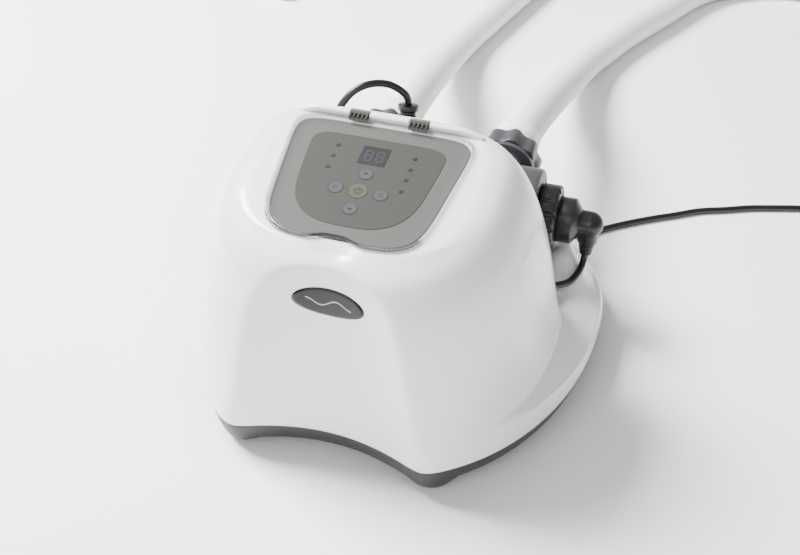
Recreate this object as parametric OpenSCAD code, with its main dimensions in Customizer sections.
// Salt water chlorinator for a small pool: a white control unit with an electrolytic cell
// housing on its back, two hoses and a mains lead. Millimetres, +Z up, the front toward -Y.
// The origin is on the floor under the middle of the white shell.

/* [Node] */
// Which sub-part to build, or all of them

/* [Main shell] */
// Height of the shell's lower rim above the floor
rim_z = 33; // [28:1:40]
// Half of the rim's width
rim_half = 186; // [170:1:200]
// Front of the rim before the flat facet cuts it
rim_front_y = -203; // [-220:1:-190]
// Where the rim is widest
rim_wide_y = 32; // [10:1:60]
// Rear of the rim
rim_rear_y = 183; // [170:1:200]
// Front facet's position on the centre line at the rim
facet_y0 = -163.5; // [-175:0.5:-150]
// Height of the flat deck behind the dome
deck_z = 62; // [55:1:70]
// Height of the two rear corner humps above the shelf
hump_h = 30; // [10:1:40]
// Distance of each hump from the centre line
hump_x = 138; // [120:1:150]

/* [Base tray] */
// Underside of the tray's floor
tray_z = 10; // [8:1:14]
// Wall of the tray
tray_wall = 2.5; // [2:0.5:4]
// Radius of a rubber foot pad
pad_r = 8; // [6:0.5:12]

/* [Control panel] */
// Panel origin, at the middle button, along Y
panel_y = -87; // [-95:1:-80]
// Panel origin height
panel_z = 221; // [210:1:230]
// Slope of the panel, degrees
panel_slope = 12.5; // [5:0.5:20]
// Half width of the clear cover at its front
cover_front = 62; // [55:0.5:70]
// Half width of the clear cover at its rear
cover_rear = 77.5; // [70:0.5:85]
// Half length of the clear cover
cover_half = 63; // [55:0.5:70]
// Distance of the cover's middle behind the panel origin
cover_mid = 10.75; // [5:0.25:15]
// Radius of the middle button
button_r = 7.2; // [5:0.1:9]
// Radius of the four outer buttons
small_button_r = 5.9; // [4:0.1:8]
// Distance of the side buttons from the middle one
button_pitch_x = 18; // [15:0.5:22]
// Distance of the upper and lower buttons from the middle one
button_pitch_v = 18.4; // [15:0.1:22]
// Upper face of the control board below the panel
board_n = -10.4; // [-14:0.1:-8]

/* [Cover hinge] */
// Hinge axis behind the panel origin
hinge_v = 79; // [76:0.5:84]
// Hinge axis above the panel
hinge_n = 3.7; // [3.5:0.1:5]
// Radius of the hinge pin
pin_r = 1.5; // [1:0.1:2.5]
// Running clearance around the pin
pin_gap = 0.05; // [0.01:0.01:0.1]
// Half length of the hinge pin
pin_half = 66; // [50:1:75]

/* [Cell housing] */
// Housing axis along Y
cell_y = 79; // [70:1:90]
// Housing axis height
cell_z = 112; // [100:1:120]
// Radius of the housing tube
housing_r = 36; // [32:0.5:40]
// Radius of the large end collar
collar_r = 42; // [38:0.5:46]
// Half length of the housing
housing_half = 112; // [100:1:120]
// Distance of each hose port from the centre line
port_x = 64; // [55:1:72]
// Bore of a hose port
port_bore = 17; // [14:0.5:19]
// Outside radius of a port's thread
thread_r = 26; // [24:0.5:28]
// Running clearance of a union nut on its thread
nut_gap = 0.08; // [0.02:0.01:0.1]
// Radius at the crests of a union nut
nut_r = 33; // [30:0.5:36]

/* [Hoses and leads] */
// Outside radius of a hose
hose_r = 22; // [19:0.5:24]
// Radius of the two short leads
lead_r = 3.3; // [2.5:0.1:4]
// Radius of the mains lead
mains_r = 3.5; // [3:0.1:4.5]
// Middle radius of the coiled mains lead
coil_r = 38.5; // [35:0.5:42]

/* [Hidden] */
$fn = 72;
white = [0.93, 0.93, 0.92];
warm_grey = [0.63, 0.62, 0.6];
olive = [0.5, 0.51, 0.48];
dark = [0.27, 0.27, 0.29];
black = [0.11, 0.11, 0.12];
smoke = [0.55, 0.53, 0.57, 0.45];
steel = [0.75, 0.75, 0.76];
copper = [0.75, 0.42, 0.25];
board_green = [0.12, 0.35, 0.2];

around = 84;
outline_steps = 96;
dome_mid_y = -63;
slope_rise = tan(panel_slope);
// Dome sections from the rim level up. Each row: place along the wall, height, tilt,
// half width, rear y, front y, front exponent, y of the widest point.
sections = [
    [0.00, 33, 0.00, 160, 49, -206, 2.30, -18],
    [0.18, 72, 0.01, 152, 43, -196, 2.30, -28],
    [0.37, 114, 0.03, 145, 36, -189, 2.35, -36],
    [0.56, 155, 0.07, 137, 29, -182, 2.40, -44],
    [0.75, 190, 0.12, 126, 21, -173, 2.45, -52],
    [0.88, 212, 0.17, 113, 13, -163, 2.50, -57],
    [0.95, 222, 0.20, 102, 6, -150, 2.60, -61],
    [1.00, 226.32, slope_rise, 90, -2, -143, 3.20, -64]
];
shelf_t = 0.115;
shelf_steps = [0, 0.2, 0.4, 0.6, 0.8, 1];
dome_steps = [0.17, 0.24, 0.32, 0.42, 0.52, 0.62, 0.71, 0.79, 0.86, 0.91, 0.95, 0.98, 1];
inner_steps = [1, 0.95, 0.88, 0.75, 0.56, 0.37, 0.2];
ledge_n = -3.8;

button_spots = [[0, 0], [0, button_pitch_v], [0, -button_pitch_v], [-button_pitch_x, 0], [button_pitch_x, 0]];
lens_spots = [[-31.5, 44], [-31.5, 31.8], [-31.5, 19.5], [32, 43], [32, 30.7], [32, 19.5], [32, 7.2]];
window = [22, 19.4];
window_v = 38.4;
board_screw_spots = [[-44, -24], [44, -24], [-44, 50], [44, 50]];
power_spots = [[16, -119], [124, -119], [16, -31], [124, -31]];
feet = [[-84, -156], [84, -156], [-118, 118], [118, 118]];
base_screw_spots = [[-150, -60], [150, -60], [-150, 70], [150, 70], [-60, 140], [60, 140]];
saddle_screw_spots = [[-62, 60], [62, 60], [-62, 98], [62, 98]];
port_end_y = 158;
hose_start_y = 208;
sensor_tilt = -14.5;
sensor_x = -20;
cell_gland_at = [133, 26.2, 68];
cell_gland_turn = 56.3;
flow_gland_at = [-80, 26.9, 156];
mains_gland_at = [116, 153, 22];
mains_gland_turn = 66.5;
gland_nose = 12;
coil_at = [435, 300];
coil_h = 14;
coil_w = 21;
right_bend = [342.7, 768.2];
right_bend_r = 170;
left_bend = [-197.2, 939];
left_bend_r = 170;
hose_turn_left = -168.4;

function clamp01(v) = max(0, min(1, v));
function smooth(a, b, v) = let (t = clamp01((v - a) / (b - a))) t * t * (3 - 2 * t);
function mix(a, b, t) = a + (b - a) * t;
function side(v) = v < 0 ? -1 : 1;
function power(v, n) = side(v) * pow(abs(v), 2 / n);
function soft_max(a, b, k) = 0.5 * (a + b + sqrt((a - b) * (a - b) + k * k));

// A superellipse point with its own front and rear depth and exponent
function ring_point(half, mid, front, rear, nf, nr, t) =
    let (n = sin(t) < 0 ? nf : nr, d = sin(t) < 0 ? mid - front : rear - mid)
    [half * power(cos(t), n), mid + d * power(sin(t), n)];

function rise(k, i) = (sections[i + 1][k] - sections[i][k]) / (sections[i + 1][0] - sections[i][0]);
function slope(k, i) =
    i == 0 ? rise(k, 0) :
    i == len(sections) - 1 ? rise(k, i - 1) :
    let (a = rise(k, i - 1), b = rise(k, i)) a * b <= 0 ? 0 : 2 * a * b / (a + b);
function below(t) = let (c = [for (i = [0 : len(sections) - 2]) if (sections[i][0] <= t) i]) c[len(c) - 1];
function level(k, t) =
    let (i = below(t), h = sections[i + 1][0] - sections[i][0], s = (t - sections[i][0]) / h, r = 1 - s)
    sections[i][k] * (1 + 2 * s) * r * r + slope(k, i) * h * s * r * r
    + sections[i + 1][k] * s * s * (3 - 2 * s) + slope(k, i + 1) * h * s * s * (s - 1);

function facet(x, z) = facet_y0 + (z - 33) * 0.042 - (0.0031 + (z - 33) * 0.000009) * x * x;
function dome_point(t, a) =
    let (p = ring_point(level(3, t), level(7, t), level(5, t), level(4, t), level(6, t), 3.6, a),
         z = level(1, t) + level(2, t) * (p.y - dome_mid_y),
         y = soft_max(p.y, facet(p.x, z), 2.5))
    [p.x, y, level(1, t) + level(2, t) * (y - dome_mid_y)];
function rim_point(a) =
    let (p = ring_point(rim_half, rim_wide_y, rim_front_y, rim_rear_y, 2.15, 2.35, a))
    [p.x, soft_max(p.y, facet(p.x, rim_z), 2.5), rim_z];
function hump(p) = hump_h * exp(-pow((abs(p.x) - hump_x) / 24, 2)) * smooth(39, 79, p.y);
function deck(p, u) = smooth(32, 58, p.y) * (1 - smooth(96, 122, abs(p.x))) * smooth(0.08, 0.3, u);

function flat_dir(v) = [v.x, v.y, 0] / (norm([v.x, v.y]) + 0.000001);
function wall_top(a) =
    let (r = rim_point(a), d = dome_point(shelf_t, a), k = smooth(-155, -88, r.y), back = smooth(-113, -3, r.y),
         far = norm([d.x - r.x, d.y - r.y]), step = min(mix(12, 5, back), far / 2),
         w = r + flat_dir(d - r) * step, m = mix(r, d, 0.4))
    mix(m, [w.x, w.y, rim_z + mix(20, 10, back)], k);
function wall_middle(a) =
    let (r = rim_point(a), w = wall_top(a), g = pow(0.5, 1.6))
    [mix(r.x, w.x, g), mix(r.y, w.y, g), mix(r.z, w.z, 0.5)];
function shelf_point(u, a) =
    let (p = mix(wall_top(a), dome_point(shelf_t, a), u), k = smooth(-155, -88, rim_point(a).y),
         z = p.z + hump(p) * smooth(0, 0.4, u) * k)
    [p.x, p.y, mix(z, deck_z, deck(p, u))];
function above_shelf(t, a) =
    let (p = dome_point(t, a), z = shelf_point(1, a).z)
    [p.x, p.y, max(p.z, z + 2 * (t - shelf_t))];
function on_slope(x, v, n) =
    [x, panel_y + v * cos(panel_slope) - n * sin(panel_slope), panel_z + v * sin(panel_slope) + n * cos(panel_slope)];
function opening_point(grow, n, a) =
    let (e = sin(a) < 0 ? 5 : 8, q = power(sin(a), e), half = mix(cover_front, cover_rear, (q + 1) / 2) - 3 + grow)
    on_slope(half * power(cos(a), e), cover_mid + (cover_half - 3 + grow) * q, n);
function inside(p) = [p.x * 0.98, (p.y + 33) * 0.98 - 33, p.z - 3];

ring_angles = [for (i = [0 : around - 1]) i * 360 / around];
outer_rows = concat(
    [[for (a = ring_angles) rim_point(a)], [for (a = ring_angles) wall_middle(a)]],
    [for (u = shelf_steps) [for (a = ring_angles) shelf_point(u, a)]],
    [for (t = dome_steps) [for (a = ring_angles) above_shelf(t, a)]]);
ledge_rows = [
    [for (a = ring_angles) opening_point(0.5, 0, a)],
    [for (a = ring_angles) opening_point(0.5, ledge_n, a)],
    [for (a = ring_angles) opening_point(-6, ledge_n, a)],
    [for (a = ring_angles) opening_point(-6, ledge_n - 2.5, a)]];
inner_rows = concat(
    [for (t = inner_steps) [for (a = ring_angles) inside(above_shelf(t, a))]],
    [for (u = [1, 0.6, 0.2]) [for (a = ring_angles) inside(shelf_point(u, a))]],
    [[for (a = ring_angles) let (p = inside(rim_point(a))) [p.x, p.y, rim_z]]]);

// Triangles between rows of points, clockwise from outside
function row_faces(rows, cols, closed) = [
    for (i = [0 : rows - (closed ? 1 : 2)], j = [0 : cols - 1])
        let (a = i * cols + j, b = i * cols + (j + 1) % cols, n = (i + 1) % rows,
             c = n * cols + (j + 1) % cols, d = n * cols + j)
        each [[a, c, b], [a, d, c]]];

// A tube of one radius through a smooth curve along points
function curve_at(p, s) =
    let (n = len(p), i = min(floor(s), n - 2), t = s - i, a = p[max(i - 1, 0)], b = p[i], c = p[i + 1],
         d = p[min(i + 2, n - 1)])
    0.5 * (2 * b + (c - a) * t + (2 * a - 5 * b + 4 * c - d) * t * t + (3 * b - a - 3 * c + d) * t * t * t);
function curve(p, k) = [for (i = [0 : (len(p) - 1) * k]) curve_at(p, i / k)];
function unit(v) = v / norm(v);
function along(q, i) = unit(q[min(i + 1, len(q) - 1)] - q[max(i - 1, 0)]);
function square_to(v, t) = unit(v - (v * t) * t);
function carried(q, i, got) =
    i == len(q) ? got : carried(q, i + 1, concat(got, [square_to(got[i - 1], along(q, i))]));

module tube(points, r, sides, k) {
    q = curve(points, k);
    first = along(q, 0);
    start = square_to(abs(first.z) > 0.9 ? [1, 0, 0] : [0, 0, 1], first);
    turned = carried(q, 1, [start]);
    rings = [for (i = [0 : len(q) - 1], j = [0 : sides - 1])
        let (a = j * 360 / sides) q[i] + r * (turned[i] * cos(a) + cross(along(q, i), turned[i]) * sin(a))];
    last = (len(q) - 1) * sides;
    polyhedron(rings, concat(
        row_faces(len(q), sides, false),
        [[for (j = [0 : sides - 1]) j]],
        [[for (j = [sides - 1 : -1 : 0]) last + j]]));
}

function super_unit(t, n) =
    let (r = pow(pow(abs(cos(t)), n) + pow(abs(sin(t)), n), -1 / n)) [r * cos(t), r * sin(t)];
function panel_outline(front, rear, half, nf, nr) = [
    for (i = [0 : outline_steps - 1])
        let (t = i * 360 / outline_steps, p = super_unit(t, sin(t) < 0 ? nf : nr))
        [p.x * mix(front, rear, (p.y + 1) / 2), cover_mid + half * p.y]];
function notched(points) = [for (p = points) [p.x, p.y < cover_mid ? p.y + 6 * (1 - smooth(4, 16, abs(p.x))) : p.y]];
function cover_outline(grow) = notched(panel_outline(cover_front + grow, cover_rear + grow, cover_half + grow, 5, 8));
function rim_outline(inset) = [
    for (a = ring_angles) let (p = rim_point(a)) [p.x * (1 - inset / rim_half), p.y * (1 - inset / rim_rear_y)]];

module on_panel() {
    translate([0, panel_y, panel_z])
        rotate([panel_slope, 0, 0])
            children();
}

module up(z, h, r) {
    translate([0, 0, z])
        cylinder(h = h, r = r);
}

module block(x, y, z) {
    translate([x[0], y[0], z[0]])
        cube([x[1] - x[0], y[1] - y[0], z[1] - z[0]]);
}

module along_x(x0, x1, r) {
    translate([x0, cell_y, cell_z])
        rotate([0, 90, 0])
            cylinder(h = x1 - x0, r = r);
}

module along_y(x, z, y0, y1, r) {
    translate([x, y0, z])
        rotate([-90, 0, 0])
            cylinder(h = y1 - y0, r = r);
}

module pan_screw(head_r, head_h, shank_r, length) {
    up(-head_h, head_h, head_r);
    up(-0.1, length + 0.1, shank_r);
}

// Shell and base
module main_shell() color(white) {
    rows = concat(outer_rows, ledge_rows, inner_rows);
    polyhedron([for (r = rows) each r], row_faces(len(rows), around, true));
}

tray_layers = [[10, 14, 15], [13, 19, 9], [18, 26, 5], [25, 32.7, 1]];
module base_tray() color(black) {
    difference() {
        union() {
            difference() {
                for (l = tray_layers)
                    translate([0, 0, l[0]])
                        linear_extrude(l[1] - l[0])
                            polygon(rim_outline(l[2]));
                for (l = tray_layers)
                    translate([0, 0, l[0] + tray_wall])
                        linear_extrude(40)
                            polygon(rim_outline(l[2] + 3));
            }
            for (f = feet)
                translate([f.x, f.y, 1.5])
                    cylinder(h = tray_z - 1.4, r1 = 10, r2 = 15);
            for (s = base_screw_spots)
                translate(s)
                    up(tray_z, 21, 5.5);
            for (s = power_spots)
                translate(s)
                    up(tray_z + 1, 13, 4);
        }
        for (f = feet)
            translate(f)
                up(0, 3, pad_r);
        for (s = base_screw_spots)
            translate(s) {
                up(0, 14, 4);
                up(0, 40, 1.65);
            }
        for (s = power_spots)
            translate(s)
                up(tray_z + 5, 20, 1.5);
    }
}

module foot_pads() color(black)
    for (f = feet)
        translate(f)
            up(0, 3, pad_r);

module base_screws() color(steel)
    for (s = base_screw_spots)
        translate([s.x, s.y, 14])
            pan_screw(3.6, 2.4, 1.6, 16);

module badge() color(black)
    intersection() {
        translate([0, -150, 168])
            rotate([90, 0, 0])
                linear_extrude(20)
                    polygon([for (i = [0 : 71]) [31 * cos(i * 5), 13.5 * sin(i * 5)]]);
        translate([0, -273.8, 168])
            rotate([-2.4, 0, 0])
                difference() {
                    translate([0, 0, -20])
                        cylinder(h = 40, r = 115.2);
                    translate([0, 0, -21])
                        cylinder(h = 42, r = 113.4);
                }
    }

// Control panel
module panel_bezel() color(warm_grey)
    on_panel()
        difference() {
            union() {
                translate([0, 0, -3])
                    linear_extrude(2.5)
                        polygon(panel_outline(cover_front - 3, cover_rear - 3, cover_half - 3, 5, 8));
                for (s = board_screw_spots)
                    translate(s)
                        up(board_n, 8, 3.5);
            }
            for (i = [0 : 4])
                translate(button_spots[i])
                    up(-4, 5, (i == 0 ? button_r : small_button_r) + 0.3);
            for (s = lens_spots)
                translate(s)
                    up(-4, 5, 2);
            block([-window.x / 2 - 0.3, window.x / 2 + 0.3], [window_v - 10, window_v + 10], [-4, 1]);
            for (s = board_screw_spots)
                translate(s)
                    up(board_n - 1, 7, 1.5);
        }

module panel_gasket() color(black)
    on_panel()
        translate([0, 0, ledge_n])
            linear_extrude(0.8)
                difference() {
                    polygon(panel_outline(cover_front - 3.5, cover_rear - 3.5, cover_half - 3.5, 5, 8));
                    polygon(panel_outline(cover_front - 8, cover_rear - 8, cover_half - 8, 5, 8));
                }

module keypad_overlay() color(olive)
    on_panel()
        translate([0, 0, -0.5])
            linear_extrude(0.5)
                difference() {
                    polygon(panel_outline(46, 57, 46.6, 2.9, 8));
                    for (i = [0 : 4])
                        translate(button_spots[i])
                            circle(r = (i == 0 ? button_r : small_button_r) + 0.3);
                    for (s = lens_spots)
                        translate(s)
                            circle(r = 2);
                    translate([-window.x / 2 - 0.3, window_v - 10])
                        square([window.x + 0.6, 20]);
                }

module display_window() color([0.24, 0.22, 0.27])
    on_panel()
        block([-window.x / 2, window.x / 2], [window_v - window.y / 2, window_v + window.y / 2], [-3, 0]);

module display_module() color(black)
    on_panel() {
        block([-12.5, 12.5], [window_v - 10, window_v + 10], [board_n, -3.6]);
        for (x = [-8.5, 1.5], v = [-6, 0, 6])
            block([x + 1, x + 6], [window_v + v - 0.6, window_v + v + 0.6], [-3.7, -3.3]);
    }

module indicator_lenses() color([0.3, 0.3, 0.33])
    on_panel()
        for (s = lens_spots)
            translate(s) {
                up(board_n, -3.3 - board_n, 2.6);
                up(-3.4, 3.6, 1.7);
            }

module push_button(i, r) {
    on_panel()
        translate(button_spots[i]) {
            up(-3.4, 3.8, r);
            up(-4.6, 1.3, r + 1);
            up(-7.4, 2.9, 2);
        }
}

module button_center() color([0.55, 0.57, 0.32]) push_button(0, button_r);
module button_top() color([0.35, 0.45, 0.55]) push_button(1, small_button_r);
module button_bottom() color([0.35, 0.45, 0.55]) push_button(2, small_button_r);
module button_left() color([0.35, 0.45, 0.55]) push_button(3, small_button_r);
module button_right() color([0.35, 0.45, 0.55]) push_button(4, small_button_r);

module tact_switches() color(black)
    on_panel()
        for (s = button_spots)
            translate([s.x - 3, s.y - 3, board_n])
                cube([6, 6, 1.9]);

module control_board() color(board_green)
    on_panel()
        difference() {
            union() {
                block([-49, 49], [-29, 56], [board_n - 1.6, board_n]);
                block([18, 42], [-14, -8], [board_n - 6, board_n - 1.6]);
            }
            for (s = board_screw_spots)
                translate(s)
                    up(board_n - 3, 4, 1.7);
        }

module board_screws() color(steel) {
    on_panel()
        for (s = board_screw_spots)
            translate([s.x, s.y, board_n - 1.6])
                pan_screw(3, 1.8, 1.45, 6);
    for (s = power_spots)
        translate([s.x, s.y, 25.6])
            mirror([0, 0, 1])
                pan_screw(3, 1.8, 1.45, 8);
}

module buzzer() color(black)
    on_panel()
        translate([-30, 30, board_n - 10])
            cylinder(h = 8.4, r = 6);

module ribbon_cable() color([0.6, 0.6, 0.62]) {
    run = [[-98.2, 202], [-99, 190], [-110, 160], [-113, 100], [-106, 60], [-101, 30]];
    translate([20, 0, 0])
        rotate([90, 0, 90])
            linear_extrude(20)
                polygon(concat(run, [for (i = [len(run) - 1 : -1 : 0]) run[i] + [1, 0]]));
}

// Clear cover and its hinge
module at_hinge() {
    on_panel()
        translate([0, hinge_v, hinge_n])
            rotate([0, 90, 0])
                children();
}

module clear_cover() color(smoke)
    difference() {
        union() {
            on_panel() {
                translate([0, 0, 2.5])
                    linear_extrude(2.5)
                        polygon(cover_outline(0));
                translate([0, 0, 0.8])
                    linear_extrude(2)
                        difference() {
                            polygon(cover_outline(0));
                            polygon(cover_outline(-2));
                        }
                for (s = [-1, 1], k = [0 : 3])
                    translate([s * 25 - 7 + k * 4.4, 72, 2.2])
                        cube([1.4, hinge_v - 72, 3]);
                for (s = [-1, 1])
                    translate([s * 25 - 7, 72, 2.2])
                        cube([14, hinge_v - 73, 1.6]);
            }
            for (s = [-1, 1])
                at_hinge()
                    translate([0, 0, s * 25 - 8])
                        cylinder(h = 16, r = 3.3);
        }
        at_hinge()
            translate([0, 0, -40])
                cylinder(h = 80, r = pin_r + pin_gap);
    }

rail_spans = [[-65.5, -33.4], [-16.6, 16.6], [33.4, 65.5]];
module hinge_rail() color(white)
    difference() {
        union() {
            for (s = rail_spans) {
                at_hinge()
                    translate([0, 0, s[0]])
                        cylinder(h = s[1] - s[0], r = 2.9);
                on_panel()
                    for (x = [s[0] + 0.4, (s[0] + s[1]) / 2 - 1.5, s[1] - 3.4])
                        block([x, x + 3], [hinge_v - 1.6, hinge_v + 1.6], [0.02, hinge_n]);
            }
        }
        at_hinge()
            translate([0, 0, -70])
                cylinder(h = 140, r = pin_r + 0.02);
    }

module hinge_pin() color(steel)
    at_hinge()
        translate([0, 0, -pin_half])
            cylinder(h = 2 * pin_half, r = pin_r);

// Electronics in the base
module power_board() color(board_green)
    difference() {
        union() {
            block([10, 130], [-125, -25], [24, 25.6]);
            block([18, 42], [-106, -96], [25.6, 30]);
            block([100, 126], [-56, -42], [25.6, 36]);
        }
        for (s = power_spots)
            translate(s)
                up(20, 10, 1.7);
    }

module transformer() color([0.35, 0.33, 0.32]) {
    block([-108, -42], [-84, -36], [14, 68]);
    color(copper)
        block([-96, -54], [-96, -24], [22, 60]);
    block([-120, -30], [-80, -40], [12.5, 14]);
}

module heat_sink() color([0.75, 0.76, 0.78]) {
    block([50, 96], [-84, -60], [25.6, 29]);
    for (k = [0 : 7])
        block([50 + k * 6.2, 51.6 + k * 6.2], [-84, -60], [29, 58]);
}

module capacitors() color([0.2, 0.22, 0.35])
    for (x = [62, 82, 102])
        translate([x, -104, 25.6])
            cylinder(h = 22, r = 8);

module inner_wiring() color([0.6, 0.15, 0.12]) {
    tube([[124, 12, 68], [116, 0, 60], [110, -14, 48], [108, -28, 41], [108, -38.5, 33]], 2.5, 8, 2);
    tube([[-80, 16, 156], [-78, 4, 140], [-60, -6, 100], [0, -8, 60], [60, -16, 40], [88, -32, 35], [96, -44, 32]],
        2.5, 8, 2);
    tube([[109, 136, 22], [96, 112, 21], [50, 60, 20], [-10, 30, 22], [-50, 10, 30], [-60, -10, 40], [-64, -23, 44]],
        2.5, 8, 2);
}

// Cell housing and what it holds
module sensor_frame() {
    translate([sensor_x, cell_y, cell_z])
        rotate([sensor_tilt, 0, 0])
            children();
}

module cell_housing() color(dark)
    difference() {
        union() {
            along_x(-housing_half + 6, housing_half - 20, housing_r);
            translate([housing_half - 26, cell_y, cell_z])
                rotate([0, 90, 0])
                    rotate_extrude()
                        polygon([[0, 0], [38, 0], [collar_r, 3], [collar_r, 22], [collar_r - 1.2, 24.8],
                            [collar_r - 4, 26], [0, 26]]);
            along_x(housing_half - 1, housing_half + 14, 26);
            for (s = [-1, 1]) {
                along_y(s * port_x, cell_z, cell_y, 140, 24);
                along_y(s * port_x, cell_z, 139, 144, 31);
                along_y(s * port_x, cell_z, 143, port_end_y, thread_r);
            }
            sensor_frame()
                up(20, 24, 17);
            block([-80, 80], [53, 105], [deck_z + 0.3, 92]);
        }
        along_x(-housing_half - 1, housing_half - 6, 30);
        along_x(housing_half - 8, housing_half + 15, 23);
        for (s = [-1, 1])
            along_y(s * port_x, cell_z, cell_y, port_end_y + 1, port_bore);
        sensor_frame()
            up(10, 40, 11);
        for (s = saddle_screw_spots)
            translate(s)
                up(deck_z, 14, 2);
    }

module housing_screws() color(steel)
    for (s = saddle_screw_spots)
        translate([s.x, s.y, deck_z - 3.2])
            pan_screw(4, 3, 1.95, 15);

module housing_end_cap() color(dark) {
    translate([-housing_half, cell_y, cell_z])
        rotate([0, 90, 0])
            rotate_extrude()
                polygon([[0, 0], [33, 0], [36.5, 1.2], [38, 4], [38, 5.8], [0, 5.8]]);
    along_x(-housing_half + 5, -housing_half + 13, 29.9);
}

plate_ys = [-15, -10, -5, 0, 5, 10, 15];
module cell_cartridge() color([0.8, 0.8, 0.78])
    difference() {
        union() {
            along_x(98, housing_half + 14.3, 22.9);
            along_x(housing_half + 14.3, housing_half + 17.3, 25.5);
            along_x(housing_half + 17.2, housing_half + 22, 17);
            along_x(-4, 0, 22);
            for (s = [-1, 1])
                block([-4, 100], [cell_y - 3, cell_y + 3], [cell_z + s * 20.5 - 1.5, cell_z + s * 20.5 + 1.5]);
        }
        for (y = plate_ys)
            block([-5, 106], [cell_y + y - 0.6, cell_y + y + 0.6], [cell_z - 15.1, cell_z + 15.1]);
        translate([housing_half + 3, cell_y, cell_z])
            rotate([0, 90, 0])
                difference() {
                    cylinder(h = 3, r = 30);
                    cylinder(h = 3, r = 21);
                }
    }

module electrode_plates() color([0.55, 0.55, 0.57])
    for (y = plate_ys)
        block([-2, 104], [cell_y + y - 0.5, cell_y + y + 0.5], [cell_z - 15, cell_z + 15]);

module cell_seal() color(black)
    translate([housing_half + 4.5, cell_y, cell_z])
        rotate([0, 90, 0])
            rotate_extrude()
                translate([21.98, 0])
                    circle(r = 0.95, $fn = 24);

module cell_collar_nut() color(black)
    difference() {
        union() {
            along_x(housing_half + 0.5, housing_half + 19, 29);
            translate([housing_half + 1.5, cell_y, cell_z])
                rotate([0, 90, 0])
                    for (k = [0 : 23])
                        rotate([0, 0, k * 15])
                            translate([28.5, -1.3, 0])
                                cube([1.7, 2.6, 16]);
        }
        along_x(housing_half, housing_half + 17.6, 26 + nut_gap);
        along_x(housing_half, housing_half + 20, 21.6);
    }

module cell_plug() color(black)
    difference() {
        union() {
            along_x(housing_half + 19.4, housing_half + 33, 21);
            translate([housing_half + 33, cell_y, cell_z])
                rotate([0, 90, 0])
                    cylinder(h = 6, r1 = 21, r2 = 13);
            along_x(housing_half + 38, 160, 12);
            translate([160, cell_y, cell_z])
                sphere(r = 12);
            translate([159.5, cell_y + 0.5, 94])
                cylinder(h = 18, r = 9.5);
            for (k = [0 : 3])
                translate([159.3, cell_y + 0.8, 90.4 - k * 3.6])
                    cylinder(h = 2.6, r = 7.6 - k * 0.6);
            translate([159.2, cell_y + 1, 79])
                cylinder(h = 16, r = 5);
        }
        along_x(housing_half + 17, housing_half + 22.3, 17.2);
    }

cell_lead_path = [[159.2, 80, 78.7], [159, 79.3, 74.5], [158.8, 76.5, 70.8], [158.2, 72, 68], [157.3, 66, 66.6],
    [155, 58, 65.7], [151.5, 50.5, 65], [146, 43.5, 66], [139.7, 36.2, 68]];
module cell_lead() color(black) tube(cell_lead_path, lead_r, 8, 2);

// A compression gland along +X of its own frame, the wall's outside at zero
module gland(bore) {
    rotate([0, 90, 0])
        difference() {
            union() {
                up(-9, 10, 6);
                up(-6, 2.4, 8);
                translate([0, 0, 0.3])
                    cylinder(h = 5, r = 8, $fn = 6);
                translate([0, 0, 5])
                    cylinder(h = gland_nose - 5.2, r1 = 6.4, r2 = 5);
            }
            up(-12, 30, bore);
        }
}

module cell_lead_gland() color(black)
    translate(cell_gland_at)
        rotate([0, 0, cell_gland_turn])
            gland(lead_r - 0.1);

module flow_sensor() color(dark)
    sensor_frame()
        difference() {
            union() {
                up(20, 24.3, 10.8);
                up(44.2, 4, 16);
                for (s = [-1, 1])
                    translate([-4, s * 5 - 1, 12])
                        cube([8, 2, 9]);
                translate([0, 6, 15])
                    rotate([90, 0, 0])
                        cylinder(h = 12, r = 1);
            }
            translate([0, 0, 34])
                difference() {
                    cylinder(h = 3, r = 14);
                    cylinder(h = 3, r = 9.2);
                }
        }

module flow_sensor_seal() color(black)
    sensor_frame()
        translate([0, 0, 35.5])
            rotate_extrude()
                translate([10.05, 0])
                    circle(r = 0.9, $fn = 24);

module flow_paddle() color([0.85, 0.85, 0.82])
    sensor_frame()
        difference() {
            union() {
                translate([0, 3.6, 15])
                    rotate([90, 0, 0])
                        cylinder(h = 7.2, r = 2.6);
                translate([-0.8, -3.6, -6])
                    cube([1.6, 7.2, 20]);
            }
            translate([0, 5, 15])
                rotate([90, 0, 0])
                    cylinder(h = 10, r = 1.05);
        }

module flow_plug() color(black)
    sensor_frame() {
        up(48.4, 4, 15.5);
        translate([0, 0, 52])
            cylinder(h = 15, r1 = 14.5, r2 = 8.5);
        for (k = [0 : 2])
            up(68 + k * 3.4, 2.2, 8.6 - k * 0.5);
        up(66, 12, 6.5);
        up(78, 4.6, 9.5);
    }

flow_lead_path = [[-20, 99.8, 192.1], [-20.6, 100, 197], [-23, 98.5, 203], [-29, 94.5, 210], [-36, 90, 215],
    [-45, 84, 217.5], [-54, 77.5, 217], [-63, 71, 212.5], [-70, 65, 204], [-75.5, 59, 193], [-78.6, 54, 182],
    [-79.8, 49.8, 171], [-80, 45, 161.5], [-80, 38.9, 156]];
module flow_lead() color(black) tube(flow_lead_path, lead_r, 8, 2);

module flow_lead_gland() color(black)
    translate(flow_gland_at)
        rotate([0, 0, 90])
            gland(lead_r - 0.1);

// Hose connections
module union_nut(s) {
    translate([s * port_x, 147, cell_z])
        rotate([-90, 0, 0])
            difference() {
                linear_extrude(height = 22)
                    polygon([for (k = [0 : 107]) let (a = k * 10 / 3, r = nut_r - 1.7 + 1.7 * cos(9 * a))
                        [r * cos(a), r * sin(a)]]);
                up(-1, 19.9, thread_r + nut_gap);
                up(-1, 30, hose_r + 0.4);
            }
}

module union_nut_left() color(dark) union_nut(-1);
module union_nut_right() color(dark) union_nut(1);

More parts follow.
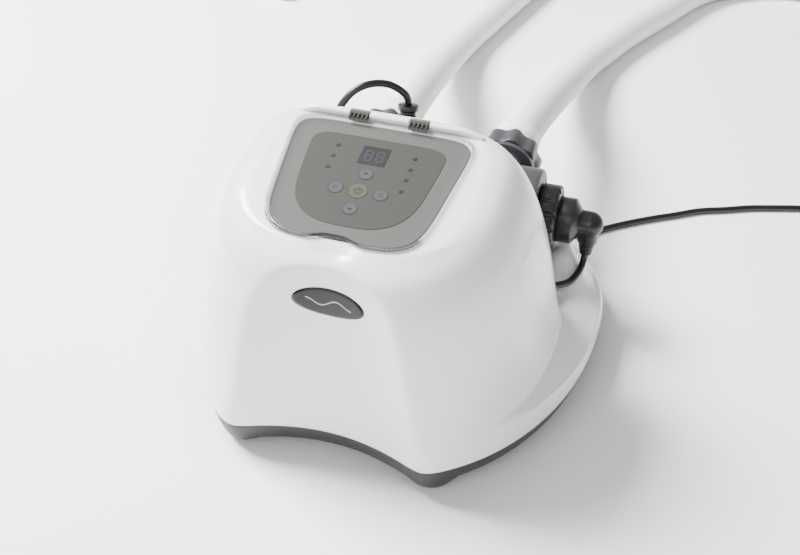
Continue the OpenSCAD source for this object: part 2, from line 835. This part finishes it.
module hose_seals() color(black)
    for (s = [-1, 1])
        translate([s * port_x, port_end_y, cell_z])
            rotate([-90, 0, 0])
                difference() {
                    cylinder(h = 2, r = 25);
                    up(-1, 4, 18);
                }

module hose_cuff(s) {
    translate([s * port_x, port_end_y + 2, cell_z])
        rotate([-90, 0, 0])
            difference() {
                union() {
                    cylinder(h = 5.4, r = 25.5);
                    cylinder(h = hose_start_y - port_end_y - 2, r = hose_r);
                    up(26, 20, 23.4);
                }
                up(-1, 60, 17);
            }
}

module hose_cuff_left() color(white) hose_cuff(-1);
module hose_cuff_right() color(white) hose_cuff(1);

function bend(at, r, a0, a1, n) = [for (i = [0 : n]) let (a = mix(a0, a1, i / n)) [at.x + r * cos(a), at.y + r * sin(a), hose_r]];
right_hose_path = concat(
    [[64, 208, 112], [64.2, 222, 111.6], [68, 269, 107], [72, 345, 89], [72, 411, 66], [73, 477, 45], [81, 567, 27],
     [98, 627, 22], [117, 680, 22], [140, 731, 22], [164, 784, 22]],
    bend(right_bend, right_bend_r, 155.7, 0, 9),
    [[512.7, 680, 22], [512.7, 590, 22], [512.7, 495, 22], [512.7, 393, 22]]);
left_hose_path = concat(
    [[-64, 208, 112], [-64.2, 222, 111.6], [-66, 258, 108.5], [-69, 304, 100], [-78, 383, 77], [-86, 438, 58],
     [-92, 493, 41], [-94, 564, 26.5], [-89, 618, 22], [-80, 662, 22], [-71, 709, 22], [-51, 807, 22]],
    bend(left_bend, left_bend_r, -11.6, 168.4, 9),
    [[-380.5, 891, 22], [-397.4, 809, 22], [-414.2, 727.3, 22]]);

module hose_left() color(white) tube(left_hose_path, hose_r, 12, 2);
module hose_right() color(white) tube(right_hose_path, hose_r, 12, 2);

// The cuff on a hose's free end, pointing along +X of its own frame
module free_cuff() {
    rotate([0, 90, 0])
        difference() {
            cylinder(h = 50, r = hose_r);
            up(10, 41, 19);
        }
}

module hose_end_left() color(white)
    translate([-414.2, 727.3, hose_r])
        rotate([0, 0, 258.4])
            free_cuff();

module hose_end_right() color(white)
    translate([512.7, 393, hose_r])
        rotate([0, 0, -90])
            free_cuff();

// Mains lead
module mains_gland() color(black)
    translate(mains_gland_at)
        rotate([0, 0, mains_gland_turn])
            gland(mains_r - 0.1);

mains_path = [[120.7, 163.8, 22], [123.5, 170.3, 21.6], [128, 180, 19], [134, 191, 13.5], [140, 201, 7.6],
    [145, 208.5, 4.5], [150, 215, 3.5], [159, 225, 3.5], [182, 244, 3.5], [207, 262, 3.5], [232, 278, 3.5],
    [258, 295, 3.5], [284, 306, 3.5], [310, 318, 3.5], [337, 327, 3.5], [363, 335, 3.5], [390, 340, 3.5],
    [412, 341, 3.5], [428, 339, 5]];
tail_path = [[473.5, 296, 7], [474, 280, 4.5], [474, 265, 3.5], [474, 250, 4.5], [473, 236, 9.5], [472, 222, 14.5],
    [471, 212, 17], [470.5, 205, 17.5]];
module mains_cord() color(black) {
    tube(mains_path, mains_r, 8, 2);
    tube(tail_path, mains_r, 8, 2);
}

module mains_coil() color(black)
    translate([coil_at.x, coil_at.y, 0])
        rotate_extrude()
            translate([coil_r - coil_w / 2, 0])
                square([coil_w, coil_h]);

module coil_tie() color(black)
    translate([coil_at.x, coil_at.y, 0])
        difference() {
            block([-coil_r - coil_w / 2 - 1, -coil_r + coil_w / 2 + 1], [-3, 3], [0, coil_h + 1]);
            block([-coil_r - coil_w / 2, -coil_r + coil_w / 2], [-4, 4], [1, coil_h]);
        }

module mains_plug() color(black)
    translate([470.5, 205, 17.5])
        rotate([90, 0, 0]) {
            cylinder(h = 24, r1 = 5.2, r2 = 7.6);
            up(23, 8, 13);
            up(30, 26, 17.5);
            for (s = [-1, 1])
                translate([s * 9.5, 0, 0])
                    up(55, 20, 2.4);
        }

main_shell();
base_tray();
foot_pads();
base_screws();
badge();
panel_bezel();
panel_gasket();
keypad_overlay();
display_window();
display_module();
indicator_lenses();
button_center();
button_top();
button_bottom();
button_left();
button_right();
tact_switches();
control_board();
board_screws();
buzzer();
ribbon_cable();
clear_cover();
hinge_rail();
hinge_pin();
power_board();
transformer();
heat_sink();
capacitors();
inner_wiring();
cell_housing();
housing_screws();
housing_end_cap();
cell_cartridge();
electrode_plates();
cell_seal();
cell_collar_nut();
cell_plug();
cell_lead();
cell_lead_gland();
flow_sensor();
flow_sensor_seal();
flow_paddle();
flow_plug();
flow_lead();
flow_lead_gland();
union_nut_left();
union_nut_right();
hose_seals();
hose_cuff_left();
hose_cuff_right();
hose_left();
hose_right();
hose_end_left();
hose_end_right();
mains_gland();
mains_cord();
mains_coil();
coil_tie();
mains_plug();
